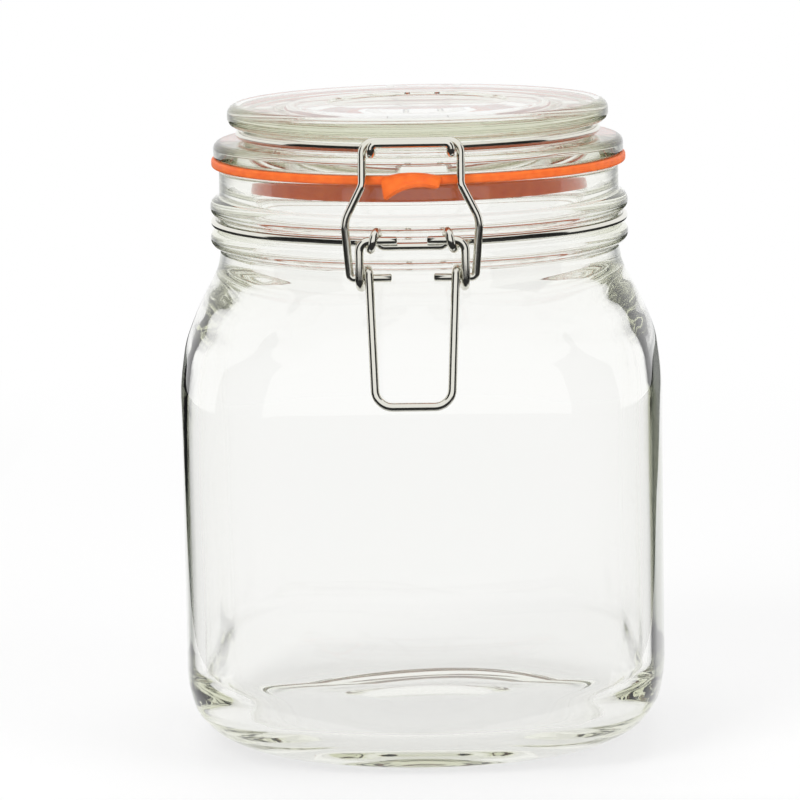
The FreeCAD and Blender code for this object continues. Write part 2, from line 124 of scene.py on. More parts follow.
# Seal
SEAL_STEPS, SEAL_ARC_STEPS, SEAL_SMOOTH = 144, 5, math.radians(40)
SEAL_GAP, SEAL_ROUND = 0.00006, 0.0006
LIP_THICK = 0.0005
LIP_ROUND = LIP_THICK / 3
TONGUE_ROOT = 0.0030
TONGUE_GRID = (28, 18)
TONGUE_TAPER, TONGUE_FLAT, TONGUE_ROUND_END, TONGUE_END_POWER = 0.16, 0.45, 0.55, 3.2
TONGUE_BEND_START, TONGUE_BEND_POWER, TONGUE_MIDDLE_SAG = 0.42, 1.7, 0.30
TONGUE_ARCH, TONGUE_ARCH_PACE, TONGUE_LEAN = 0.0011, 1.15, 0.0012
TONGUE_THICK_SHARE, TONGUE_SOFT, TONGUE_SOFT_STEPS = 0.6, 0.0005, 3

# Wires
WIRE_ROUNDNESS, WIRE_SMOOTH = 8, math.radians(50)
BEND = 0.002
TIP_SHARE, TIP_RADIUS = 0.12, 0.72
LEAVE_ANGLE = math.radians(24)
RING_CORNERS = 4
ARM_X, HOOK_X, HINGE_BAR_GAP = 0.008, 0.009, 0.001
CATCH_RISE, CATCH_BEND = 0.0025, 0.0012
ARM_CLEAR, HOOK_STEP = 0.0006, 0.003
HINGE_EYE_X, EYE_X, EYE_PITCH = 0.005, 0.0099, 0.00075
EYE_TAIL, EYE_TAIL_BEND = 0.0016, 0.0014
LEVER_LEG_X, LEVER_COIL_PITCH, LEVER_PIN_X = 0.012, 0.00215, 0.0034
LEVER_BEND, HANDLE_BEND, COIL_EASE = 0.0024, 0.004, 0.98
COIL_LOW_SHARE, COIL_HIGH_SHARE = 0.3, 0.7
BAIL_TOP_X, BAIL_PIN_X, BAIL_SIDE_GAP, BAIL_PIN_EASE = 0.0112, 0.0048, 0.00025, 0.0001
BAIL_NECK_DROP, BAIL_NECK_LEAN, BAIL_NECK_BEND = 0.0018, 0.0003, 0.0026
BAIL_FLARE, BAIL_FLARE_RISE, BAIL_FLARE_BEND, BAIL_TOP_BEND = 0.0011, 0.0130, 0.0070, 0.0028

# Stage
ROOM_LIGHT = 0.45
FLOOR_TONE, FLOOR_ROUGH = (0.95, 0.95, 0.95), 0.7
FLOOR_SIZE, FLOOR_DROP = 8, 0.0002
SHADOW_NEAR, SHADOW_FAR, NEAR_WHITE = 0.15, 0.6, 0.7
BOUNCES, GLOSS_BOUNCES = 40, 24
# Each lamp: name, place, size, power
LAMPS = (("lamp_key", (-0.55, -0.75, 0.95), 0.55, 7.0),
         ("lamp_fill", (0.8, -0.55, 0.6), 0.7, 4.0),
         ("lamp_top", (0.0, 0.25, 1.1), 0.8, 4.0))
LAMP_AIM = (0, 0, 0.08)
# Each card: name, place, size, tone, tilt, turn
CARDS = (("wire_left", (-0.50, -0.30, 0.25), (0.55, 0.9), 0.02, 90, -90),
         ("wire_floor_left", (-0.62, 0.42, 0.001), (0.95, 0.98), 0.03, 0, 0),
         ("wire_right", (0.50, -0.30, 0.25), (0.55, 0.9), 0.02, 90, 90),
         ("wire_floor_right", (0.62, 0.42, 0.001), (0.95, 0.98), 0.03, 0, 0),
         ("wire_low", (0, -0.75, 0.001), (1.6, 1.36), 0.03, 0, 0))
CAMERA_AT = (0.0369, -1.1104, 0.2551)
CAMERA_LENS, CAMERA_SENSOR, CAMERA_FAR = 212.5, 36, 50
CAMERA_PITCH, CAMERA_YAW, CAMERA_ROLL = math.radians(8.99), math.radians(2.18), math.radians(-1.06)


def length(label, default, description):
    """A length in metres that a user may change."""
    return bpy.props.FloatProperty(name=label, default=default, description=description, unit="LENGTH",
                                   precision=5)


def colour(label, default, description):
    """A linear colour that a user may change."""
    return bpy.props.FloatVectorProperty(name=label, default=default, size=len(default), min=0, max=1,
                                         subtype="COLOR", description=description)


class JarSizes(bpy.types.PropertyGroup):
    """Sizes of the glass jar."""
    half_width: length("Half width", JAR_BOX[1][0], "From the axis to the middle of a side")
    corner: length("Corner radius", 0.030, "Radius of the upright corners of the body")
    face: length("Face radius", 0.190, "Radius of the gently bowed sides")
    wall: length("Wall", 0.0036, "Thickness of the side walls")
    floor: length("Floor", 0.0055, "Thickness of the base")
    foot: length("Foot radius", 0.045, "Radius of the ring that the jar stands on")
    heel: length("Heel height", 0.018, "Height of the curve from the foot to the sides")
    shoulder: length("Shoulder start", 0.083, "Height where the sides start to draw in")
    neck_low: length("Neck start", 0.116, "Height where the round neck starts")
    neck: length("Neck radius", 0.0472, "Outer radius of the neck")
    mouth: length("Mouth radius", 0.040, "Inner radius of the mouth")
    bead: length("Bead radius", 0.0023, "Section radius of the two neck beads")
    wave: length("Wall waviness", 0.00010, "How far the inner wall strays from its true shape")


class LidSizes(bpy.types.PropertyGroup):
    """Sizes of the glass lid."""
    plug: length("Plug radius", 0.0392, "Radius of the plug that sits in the mouth")
    hollow: length("Hollow radius", 0.0335, "Radius of the hollow under the lid")
    flange: length("Flange radius", LID_BOX[1][0], "Radius of the flange on the seal")
    flange_thick: length("Flange thickness", 0.0039, "Height of the flange")
    groove: length("Groove radius", 0.041, "Radius of the wire groove")
    groove_high: length("Groove height", 0.0034, "Height of the wire groove")
    top: length("Top radius", 0.045, "Radius of the top disc")
    dish: length("Dish radius", 0.021, "Radius of the shallow dish in the top")


class SealSizes(bpy.types.PropertyGroup):
    """Sizes of the rubber seal."""
    outer: length("Outer radius", SEAL_BOX[1][0], "Outer radius of the ring")
    inner: length("Inner radius", 0.03935, "Inner radius of the ring")
    thick: length("Thickness", 0.0022, "Thickness of the ring")
    lip: length("Lip depth", 0.0046, "How far the inner edge squeezes down between plug and mouth")
    tongue_half: length("Tongue half width", 0.0070, "Half the width of the pull tongue")
    tongue_reach: length("Tongue reach", 0.0036, "How far the tongue stands out of the ring")
    tongue_drop: length("Tongue drop", 0.0030, "How far the tip of the tongue hangs down")


class WireSizes(bpy.types.PropertyGroup):
    """Sizes of the bent wires."""
    band: length("Band wire", 0.0019, "Diameter of the lid and neck bands")
    bail: length("Bail wire", 0.0019, "Diameter of the bail")
    lever: length("Lever wire", 0.0020, "Diameter of the lever")
    play: length("Play", 0.00015, "Radial play of a pin in its eye")
    handle_half: length("Handle half width", 0.0086, "Half the width of the lever's end")


class CanisterColours(bpy.types.PropertyGroup):
    """Colours of the glass, rubber and wires."""
    glass: colour("Glass tint", (0.82, 0.83, 0.72), "Tint that builds up in thick glass")
    rubber: colour("Rubber", (0.98, 0.20, 0.03), "Colour of the seal")
    rubber_dark: colour("Rubber shade", (0.86, 0.13, 0.016), "Colour of the seal's darker flecks")
    plate: colour("Plating", (0.62, 0.61, 0.52), "Colour of the zinc plating")
    plate_warm: colour("Plating tint", (0.52, 0.48, 0.34), "Yellowish tint in the plating")


class CANISTER_PG_settings(bpy.types.PropertyGroup):
    """All that a user may change on the canister."""
    jar: bpy.props.PointerProperty(type=JarSizes, name="Jar")
    lid: bpy.props.PointerProperty(type=LidSizes, name="Lid")
    seal: bpy.props.PointerProperty(type=SealSizes, name="Seal")
    wires: bpy.props.PointerProperty(type=WireSizes, name="Wires")
    colours: bpy.props.PointerProperty(type=CanisterColours, name="Colours")


def settings():
    """The canister's settings in this scene."""
    return bpy.context.scene.canister


# Materials

def new_material(name):
    """An empty node material with its output, shader and a place to add nodes."""
    material = bpy.data.materials.new(name)
    material.use_nodes = True
    nodes = material.node_tree.nodes
    return material, nodes, material.node_tree.links, nodes["Principled BSDF"]


def noise(nodes, links, scale, detail=3.0, stretch=(1, 1, 1)):
    """A noise texture on Object coordinates."""
    place = nodes.new("ShaderNodeTexCoord")
    mapping = nodes.new("ShaderNodeMapping")
    mapping.inputs["Scale"].default_value = stretch
    texture = nodes.new("ShaderNodeTexNoise")
    texture.inputs["Scale"].default_value = scale
    texture.inputs["Detail"].default_value = detail
    links.new(place.outputs["Object"], mapping.inputs["Vector"])
    links.new(mapping.outputs["Vector"], texture.inputs["Vector"])
    return texture


def ramp(nodes, links, source, low, high, first, second):
    """A colour ramp from first at low to second at high."""
    node = nodes.new("ShaderNodeValToRGB")
    node.color_ramp.elements[0].position = low
    node.color_ramp.elements[1].position = high
    node.color_ramp.elements[0].color = (*first, 1)
    node.color_ramp.elements[1].color = (*second, 1)
    links.new(source, node.inputs["Fac"])
    return node


def roughen(nodes, links, source, span, levels, shader):
    """Roughness that goes from one level to another over a texture's span."""
    smooth, rough = ((level, level, level) for level in levels)
    node = ramp(nodes, links, source, *span, smooth, rough)
    links.new(node.outputs["Color"], shader.inputs["Roughness"])


def bump(nodes, links, source, strength, distance, shader):
    """A bump from a texture into the shader's normal."""
    node = nodes.new("ShaderNodeBump")
    node.inputs["Strength"].default_value = strength
    node.inputs["Distance"].default_value = distance
    links.new(source, node.inputs["Height"])
    links.new(node.outputs["Normal"], shader.inputs["Normal"])


def math_node(nodes, links, operation, *values):
    """A Math node on numbers and sockets; gives its output socket."""
    node = nodes.new("ShaderNodeMath")
    node.operation = operation
    for socket, value in zip(node.inputs, values):
        if isinstance(value, (int, float)):
            socket.default_value = value
        else:
            links.new(value, socket)
    return node.outputs[0]


def span_node(nodes, links, source, low, high, first, last):
    """A Map Range node from first at low to last at high."""
    node = nodes.new("ShaderNodeMapRange")
    for key, value in (("From Min", low), ("From Max", high), ("To Min", first), ("To Max", last)):
        node.inputs[key].default_value = value
    links.new(source, node.inputs["Value"])
    return node


def outer_wall(nodes, links):
    """Mask of the glass's painted edge shade: 1 on upright walls that face away from the axis, and 0 on inner
    walls and level faces.
    """
    place = nodes.new("ShaderNodeTexCoord")
    split = nodes.new("ShaderNodeSeparateXYZ")
    links.new(place.outputs["Normal"], split.inputs[0])
    level = math_node(nodes, links, "ABSOLUTE", split.outputs["Z"])
    upright = span_node(nodes, links, level, UPRIGHT_LIMIT, LEVEL_LIMIT, 1.0, 0.0)
    flat = nodes.new("ShaderNodeVectorMath")
    flat.operation = "MULTIPLY"
    flat.inputs[1].default_value = (1, 1, 0)
    links.new(place.outputs["Object"], flat.inputs[0])
    outward = nodes.new("ShaderNodeVectorMath")
    outward.operation = "DOT_PRODUCT"
    links.new(flat.outputs["Vector"], outward.inputs[0])
    links.new(place.outputs["Normal"], outward.inputs[1])
    side = nodes.new("ShaderNodeNewGeometry")
    # The normal is turned round where a ray comes from inside the glass
    sign = math_node(nodes, links, "MULTIPLY_ADD", side.outputs["Backfacing"], -2, 1)
    signed = math_node(nodes, links, "MULTIPLY", outward.outputs["Value"], sign)
    outer = math_node(nodes, links, "GREATER_THAN", signed, 0)
    return math_node(nodes, links, "MULTIPLY", upright.outputs["Result"], outer)


def clear_glass():
    """Clear pressed glass: faint grey-green body colour, soft ripples and dark grazing edges on the outer
    walls, which are painted shade standing in for dark surroundings.
    """
    material, nodes, links, shader = new_material("clear_glass")
    edge = nodes.new("ShaderNodeLayerWeight")
    edge.inputs["Blend"].default_value = EDGE_BLEND
    weight = math_node(nodes, links, "MULTIPLY", edge.outputs["Facing"], outer_wall(nodes, links))
    # Painted shade: the outer walls turn dark at grazing angles, standing in for dark surroundings seen in
    # the glass
    tint = ramp(nodes, links, weight, EDGE_START, EDGE_FULL, WHITE, PAINTED_EDGE_SHADE)
    tint.color_ramp.elements.new(EDGE_EASE).color = (*PAINTED_EDGE_HALF_SHADE, 1)
    links.new(tint.outputs["Color"], shader.inputs["Base Color"])
    shader.inputs["Transmission Weight"].default_value = 1
    shader.inputs["IOR"].default_value = GLASS_IOR
    shader.inputs["Roughness"].default_value = 0.0
    ripple = noise(nodes, links, RIPPLE_SCALE, RIPPLE_DETAIL, RIPPLE_STRETCH)
    bump(nodes, links, ripple.outputs["Fac"], *RIPPLE_BUMP, shader)
    absorb = nodes.new("ShaderNodeVolumeAbsorption")
    absorb.inputs["Color"].default_value = (*settings().colours.glass, 1)
    absorb.inputs["Density"].default_value = GLASS_DENSITY
    links.new(absorb.outputs["Volume"], nodes["Material Output"].inputs["Volume"])
    return material


def orange_rubber():
    """Matt orange rubber with flecks and a fine moulded grain."""
    material, nodes, links, shader = new_material("orange_rubber")
    colours = settings().colours
    fleck = noise(nodes, links, FLECK_SCALE, FLECK_DETAIL)
    tint = ramp(nodes, links, fleck.outputs["Fac"], *FLECK_SPAN, colours.rubber_dark, colours.rubber)
    links.new(tint.outputs["Color"], shader.inputs["Base Color"])
    roughen(nodes, links, fleck.outputs["Fac"], RUBBER_ROUGH_SPAN, RUBBER_ROUGH, shader)
    shader.inputs["Specular IOR Level"].default_value = RUBBER_SPECULAR
    shader.inputs["Subsurface Weight"].default_value = RUBBER_SCATTER
    shader.inputs["Subsurface Radius"].default_value = RUBBER_SCATTER_REACH
    grain = noise(nodes, links, GRAIN_SCALE, GRAIN_DETAIL)
    bump(nodes, links, grain.outputs["Fac"], *GRAIN_BUMP, shader)
    return material


def plated_wire():
    """Bright zinc plating: a yellowish passivated tint, drawn scratches and slight pitting."""
    material, nodes, links, shader = new_material("plated_wire")
    shader.inputs["Metallic"].default_value = 1
    shader.inputs["Specular Tint"].default_value = (*PLATE_SHEEN, 1)
    colours = settings().colours
    cloud = noise(nodes, links, CLOUD_SCALE, CLOUD_DETAIL)
    tint = ramp(nodes, links, cloud.outputs["Fac"], *CLOUD_SPAN, colours.plate, colours.plate_warm)
    links.new(tint.outputs["Color"], shader.inputs["Base Color"])
    roughen(nodes, links, cloud.outputs["Fac"], PLATE_ROUGH_SPAN, PLATE_ROUGH, shader)
    scratch = noise(nodes, links, SCRATCH_SCALE, SCRATCH_DETAIL)
    bump(nodes, links, scratch.outputs["Fac"], *SCRATCH_BUMP, shader)
    return material


def shared_material(maker):
    """The material of a maker function, made once."""
    return bpy.data.materials.get(maker.__name__) or maker()


# Outlines

def rising(stations, steps):
    """Smooth monotone curve through stations of height, half width and squareness."""
    heights = [s[0] for s in stations]
    out = []
    columns = list(zip(*stations))[1:]
    slopes = [hermite_slopes(heights, column) for column in columns]
    for i in range(len(stations) - 1):
        run = heights[i + 1] - heights[i]
        for k in range(steps):
            t = k / steps
            row = [heights[i] + run * t]
            for column, slope in zip(columns, slopes):
                row.append(hermite(t, run, column[i], column[i + 1], slope[i], slope[i + 1]))
            out.append(tuple(row))
    out.append(stations[-1])
    return out


def hermite(t, run, first, last, slope_in, slope_out):
    """Cubic through two values with given end slopes."""
    cube, square = t ** 3, t ** 2
    return ((2 * cube - 3 * square + 1) * first + (cube - 2 * square + t) * run * slope_in
            + (3 * square - 2 * cube) * last + (cube - square) * run * slope_out)


def hermite_slopes(places, values):
    """Slopes that keep a curve through the values free of overshoot."""
    chords = [(values[i + 1] - values[i]) / (places[i + 1] - places[i]) for i in range(len(places) - 1)]
    slopes = [chords[0]]
    for before, after in zip(chords, chords[1:]):
        slopes.append(2 * before * after / (before + after) if before * after > 0 else 0.0)
    slopes.append(chords[-1])
    return slopes


def rounded_outline(corners, steps=6):
    """Outline points from (radius, height, rounding) corners, with the roundings as arcs."""
    out = [corners[0][:2]]
    for i in range(1, len(corners) - 1):
        here = Vector(corners[i][:2])
        back = (Vector(corners[i - 1][:2]) - here).normalized()
        ahead = (Vector(corners[i + 1][:2]) - here).normalized()
        rounding = corners[i][2]
        if not rounding:
            out.append(tuple(here))
            continue
        half = back.angle(ahead) / 2
        middle = here + (back + ahead).normalized() * (rounding / math.sin(half))
        first = here + back * (rounding / math.tan(half)) - middle
        last = here + ahead * (rounding / math.tan(half)) - middle
        for k in range(steps + 1):
            share = k / steps
            arm = (first * (1 - share) + last * share).normalized() * rounding
            out.append(tuple(middle + arm))
    out.append(corners[-1][:2])
    return out


def side_reach(half_width, squareness, inset, angle):
    """Distance from the axis to a rounded-square outline in the direction of an angle."""
    jar = settings().jar
    face = 1 / ((1 - squareness) / half_width + squareness / jar.face)
    corner = half_width * (1 - squareness) + jar.corner * squareness
    side = face - half_width
    centre = (math.sqrt(max(2 * (face - corner) ** 2 - side ** 2, 0)) - side) / 2
    half_angle = math.atan2(centre, centre + side)
    face -= inset
    corner -= inset
    turn = abs((angle + math.pi / 4) % (math.pi / 2) - math.pi / 4)
    limit = math.atan2(face * math.sin(half_angle), face * math.cos(half_angle) - side)
    if turn <= limit:
        return math.sqrt(face ** 2 - (side * math.sin(turn)) ** 2) - side * math.cos(turn)
    along = centre * (math.cos(turn) + math.sin(turn))
    across = centre * (math.cos(turn) - math.sin(turn))
    return along + math.sqrt(corner ** 2 - across ** 2)


# Modelling helpers

def start_mesh(name):
    """A new empty mesh object, alone in the selection."""
    bpy.ops.object.select_all(action="DESELECT")
    piece = bpy.data.objects.new(name, bpy.data.meshes.new(name))
    bpy.context.collection.objects.link(piece)
    bpy.context.view_layer.objects.active = piece
    piece.select_set(True)
    return piece


def choose(piece):
    """Selects one piece alone."""
    bpy.ops.object.select_all(action="DESELECT")
    piece.select_set(True)
    bpy.context.view_layer.objects.active = piece


def turned(name, outline, steps):
    """Spins an outline of (radius, height, squareness, inset) points round Z and closes it."""
    piece = start_mesh(name)
    shape = bmesh.new()
    square = shape.verts.layers.float.new("square")
    inset = shape.verts.layers.float.new("inset")
    chain = []
    for radius, height, squareness, step_in in outline:
        vert = shape.verts.new((0, step_in - radius, height))
        vert[square] = squareness
        vert[inset] = step_in
        chain.append(vert)
    for first, second in zip(chain, chain[1:]):
        shape.edges.new((first, second))
    shape.to_mesh(piece.data)
    shape.free()
    bpy.ops.object.mode_set(mode="EDIT")
    bpy.ops.mesh.select_all(action="SELECT")
    bpy.ops.mesh.spin(steps=steps, angle=FULL_TURN, center=(0, 0, 0), axis=(0, 0, 1))
    bpy.ops.mesh.select_all(action="SELECT")
    bpy.ops.mesh.remove_doubles(threshold=TINY)
    bpy.ops.mesh.normals_make_consistent(inside=False)
    bpy.ops.object.mode_set(mode="OBJECT")
    bpy.ops.object.shade_smooth()
    return piece


def square_off(piece, wave):
    """Moves a turned jar's points out to its rounded-square sections, with a slight wave inside."""
    shape = bmesh.new()
    shape.from_mesh(piece.data)
    square = shape.verts.layers.float["square"]
    inset = shape.verts.layers.float["inset"]
    for vert in shape.verts:
        radius = math.hypot(vert.co.x, vert.co.y)
        if radius < TINY / 10:
            continue
        angle = math.atan2(vert.co.y, vert.co.x)
        reach = radius
        if vert[square] > 0:
            reach = side_reach(radius + vert[inset], vert[square], vert[inset], angle)
        if vert[inset]:
            height = vert.co.z / JAR_BOX[1][2]
            for turns, twist, climb, phase in WAVES:
                reach += wave * math.sin(turns * angle + twist * height) * math.sin(climb * height + phase)
        vert.co.x *= reach / radius
        vert.co.y *= reach / radius
    shape.verts.layers.float.remove(square)
    # The first removal leaves the other layer's handle stale, so it is looked up again
    shape.verts.layers.float.remove(shape.verts.layers.float["inset"])
    shape.to_mesh(piece.data)
    shape.free()


def bent_points(corners, steps=9):
    """Points along straight runs and tangent arcs, from (point, bend radius) corners."""
    points = [Vector(p) for p, _ in corners]
    out = [points[0]]
    for i in range(1, len(points) - 1):
        back = (points[i - 1] - points[i]).normalized()
        ahead = (points[i + 1] - points[i]).normalized()
        half = back.angle(ahead) / 2
        bend = corners[i][1]
        reach = bend / math.tan(half)
        middle = points[i] + (back + ahead).normalized() * (bend / math.sin(half))
        first = points[i] + back * reach - middle
        last = points[i] + ahead * reach - middle
        sweep = first.angle(last)
        for k in range(steps + 1):
            t = k / steps
            arm = (first * math.sin((1 - t) * sweep) + last * math.sin(t * sweep)) / math.sin(sweep)
            spot = middle + arm
            if (spot - out[-1]).length > TINY:
                out.append(spot)
    if (points[-1] - out[-1]).length > TINY:
        out.append(points[-1])
    return out


def bent_wire(name, corners, diameter):
    """Round wire bent along its corners, with slightly rounded cut ends."""
    points = bent_points(corners)
    tip = diameter * TIP_SHARE
    points[0] = points[0] + (points[1] - points[0]).normalized() * tip
    points[-1] = points[-1] + (points[-2] - points[-1]).normalized() * tip
    start = points[0] - (points[1] - points[0]).normalized() * tip
    end = points[-1] - (points[-2] - points[-1]).normalized() * tip
    points = [start] + points + [end]
    curve = bpy.data.curves.new(name, "CURVE")
    curve.dimensions = "3D"
    curve.bevel_depth = diameter / 2
    curve.bevel_resolution = WIRE_ROUNDNESS
    curve.use_fill_caps = True
    spline = curve.splines.new("POLY")
    spline.points.add(len(points) - 1)
    for knot, spot in zip(spline.points, points):
        knot.co = (*spot, 1)
    spline.points[0].radius = spline.points[-1].radius = TIP_RADIUS
    piece = bpy.data.objects.new(name, curve)
    bpy.context.collection.objects.link(piece)
    choose(piece)
    bpy.ops.object.convert(target="MESH")
    bpy.ops.object.shade_smooth_by_angle(angle=WIRE_SMOOTH)
    return bpy.context.view_layer.objects.active


def mirrored(half):
    """Both halves of a wire from its right half."""
    return half + [((-x, y, z), bend) for (x, y, z), bend in reversed(half)]


def ring_corners(radius, height):
    """Right half of a band's ring from back to front, as corners bent to its radius."""
    step = (math.pi - 2 * LEAVE_ANGLE) / RING_CORNERS
    reach = radius / math.cos(step / 2)
    corners = []
    for i in range(RING_CORNERS):
        angle = LEAVE_ANGLE + step * (i + 0.5)
        corners.append(((reach * math.sin(angle), reach * math.cos(angle), height), radius))
    return corners


def ring_leave(radius, x):
    """How far out the ring's straight tangent is where it reaches an arm at x."""
    return radius * math.cos(LEAVE_ANGLE) + (radius * math.sin(LEAVE_ANGLE) - x) * math.tan(LEAVE_ANGLE)


def dress(piece, maker, body, node):
    """Gives a piece its material and body, and hides the frame node that it stands for."""
    piece.data.materials.clear()
    piece.data.materials.append(shared_material(maker))
    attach(piece, body)
    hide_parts(node)


# Heights that several pieces share

def lid_heights():
    """Heights of the lid's steps, from the seal up."""
    lid = settings().lid
    seal_top = JAR_BOX[1][2] + settings().seal.thick
    flange_top = seal_top + lid.flange_thick
    groove_top = flange_top + lid.groove_high
    return seal_top, flange_top, groove_top, LID_BOX[1][2]


class CANISTER_OT_jar(bpy.types.Operator):
    """Models the glass jar: push-up base, rounded-square body, shoulder, beaded neck and rim"""
    bl_idname = "canister.jar"
    bl_label = "Glass jar"

    def execute(self, context):
        jar = settings().jar
        wide, foot, neck = jar.half_width, jar.foot, jar.neck
        heel = wide - foot
        rise = jar.neck_low - jar.shoulder
        drop = wide - neck
        rim_top = JAR_BOX[1][2]
        run = STRAIGHT_RUN
        ball = (PUSH_UP_WIDE ** 2 + PUSH_UP_HIGH ** 2) / (2 * PUSH_UP_HIGH)
        under = [(0.0, PUSH_UP_HIGH, 0, 0)]
        for k in range(1, PUSH_UP_STEPS + 1):
            share = k / PUSH_UP_STEPS
            r = PUSH_UP_WIDE * share
            dome = PUSH_UP_HIGH - ball + math.sqrt(ball ** 2 - r ** 2)
            under.append((r, dome + FOOT_RECESS * share ** PUSH_UP_EASE, 0, 0))
        under += [(r, z, 0, 0) for r, z in FOOT_RING]
        foot_rows = rising([
            (0, foot, 0),
            *[(jar.heel * up, foot + heel * out, square) for up, out, square in HEEL_ROWS],
            (jar.heel, wide, 1),
            (jar.heel + run, wide, 1),
        ], CURVE_STEPS)
        shoulder_rows = rising([
            (jar.shoulder - run, wide, 1),
            (jar.shoulder, wide, 1),
            *[(jar.shoulder + rise * up, wide - drop * back, square) for up, back, square in SHOULDER_ROWS],
            (jar.neck_low, neck, 0),
        ], CURVE_STEPS)
        sides = self.sides(jar.heel + run, jar.shoulder - run, wide)
        outer = [(w, z, q, 0) for z, w, q in foot_rows + sides + shoulder_rows]
        rim = rounded_outline([(neck, rim_top - RIM_DEPTH, 0), (neck, rim_top, RIM_ROUND),
                               (jar.mouth, rim_top, RIM_ROUND), (jar.mouth, rim_top - RIM_DEPTH, 0)])
        finish = self.beads(jar) + [(r, z, 0, 0) for r, z in rim]
        mouth_drop = wide - jar.wall - jar.mouth
        up, back, square = INNER_SHOULDER_FIRST
        inner_shoulder = rising([
            (jar.shoulder - run, wide, 1),
            (jar.shoulder, wide, 1),
            (jar.shoulder + rise * up, wide - drop * back, square),
            *[(jar.shoulder + rise * up, wide - mouth_drop * back, square)
              for up, back, square in INNER_SHOULDER_ROWS],
            (jar.neck_low, jar.mouth + jar.wall, 0),
        ], CURVE_STEPS)
        low = jar.floor + jar.heel * INNER_HEEL_TOP
        inner_foot = rising([
            (jar.floor, foot - INNER_FOOT_STEP, INNER_FOOT_SQUARE),
            *[(jar.floor + jar.heel * up, foot + heel * out, square) for up, out, square in INNER_HEEL_ROWS],
            (low, wide, 1),
            (low + run, wide, 1),
        ], CURVE_STEPS)
        sides = self.sides(low + run, jar.shoulder - run, wide)
        inner = [(w, z, q, jar.wall) for z, w, q in inner_foot + sides + inner_shoulder]
        inner.reverse()
        floor = [(r, jar.floor, 0, 0) for r in FLOOR_LEDGE]
        crown = jar.floor + PUSH_UP_HIGH * FLOOR_CROWN_SHARE
        for k in range(FLOOR_STEPS, -1, -1):
            r = PUSH_UP_WIDE * FLOOR_CROWN_REACH * k / FLOOR_STEPS
            floor.append((r, max(crown - ball + math.sqrt(ball ** 2 - r ** 2), jar.floor), 0, 0))
        piece = turned("jar_glass", under + outer + finish + inner + floor, GLASS_STEPS)
        square_off(piece, jar.wave)
        dress(piece, clear_glass, "jar", "glass_jar")
        return {"FINISHED"}

    def sides(self, low, high, wide):
        """Rows of the straight sides between two heights, without the ends."""
        return [(low + (high - low) * k / SIDE_ROWS, wide, 1) for k in range(1, SIDE_ROWS)]

    def beads(self, jar):
        """The neck's outline with its two beads, which hold the wire between them."""
        outline = []
        low_bead = jar.neck_low + BEAD_RISE
        ring = jar.neck + BEAD_PROUD - jar.bead
        for centre in (low_bead, low_bead + BEAD_SPACING):
            outline.append((jar.neck, centre - jar.bead - BEAD_EASE, 0, 0))
            for k in range(1, BEAD_STEPS):
                turn = math.pi * (k / BEAD_STEPS) - math.pi / 2
                reach = max(ring + jar.bead * math.cos(turn), jar.neck)
                outline.append((reach, centre + jar.bead * math.sin(turn), 0, 0))
            outline.append((jar.neck, centre + jar.bead + BEAD_EASE, 0, 0))
        return outline


class CANISTER_OT_lid(bpy.types.Operator):
    """Models the glass lid: hollow plug, flange, wire groove and rounded top disc"""
    bl_idname = "canister.lid"
    bl_label = "Glass lid"

    def execute(self, context):
        lid = settings().lid
        seal_top, flange_top, groove_top, top = lid_heights()
        bottom = LID_BOX[0][2]
        hollow_top = bottom + HOLLOW_DEPTH
        dish = top - DISH_DEPTH
        outline = rounded_outline([
            (0.0, hollow_top, 0),
            (lid.hollow - HOLLOW_ROUND, hollow_top, HOLLOW_ROUND),
            (lid.hollow, bottom, PLUG_ROUND),
            (lid.plug, bottom, PLUG_ROUND),
            (lid.plug, seal_top, PLUG_ROOT_ROUND),
            (lid.flange, seal_top, FLANGE_LOW_ROUND),
            (lid.flange, flange_top, FLANGE_TOP_ROUND),
            (lid.groove, flange_top, GROOVE_LOW_ROUND),
            (lid.groove, groove_top, GROOVE_TOP_ROUND),
            (lid.top, groove_top, DISC_LOW_ROUND),
            (lid.top, top, DISC_TOP_ROUND),
            (lid.dish + DISH_SLOPE, top, DISH_ROUND),
            (lid.dish, dish, DISH_ROUND),
            (0.0, dish, 0),
        ], LID_ARC_STEPS)
        piece = turned("lid_glass", [(r, z, 0, 0) for r, z in outline], GLASS_STEPS)
        square_off(piece, 0)
        dress(piece, clear_glass, "lid", "glass_lid")
        return {"FINISHED"}


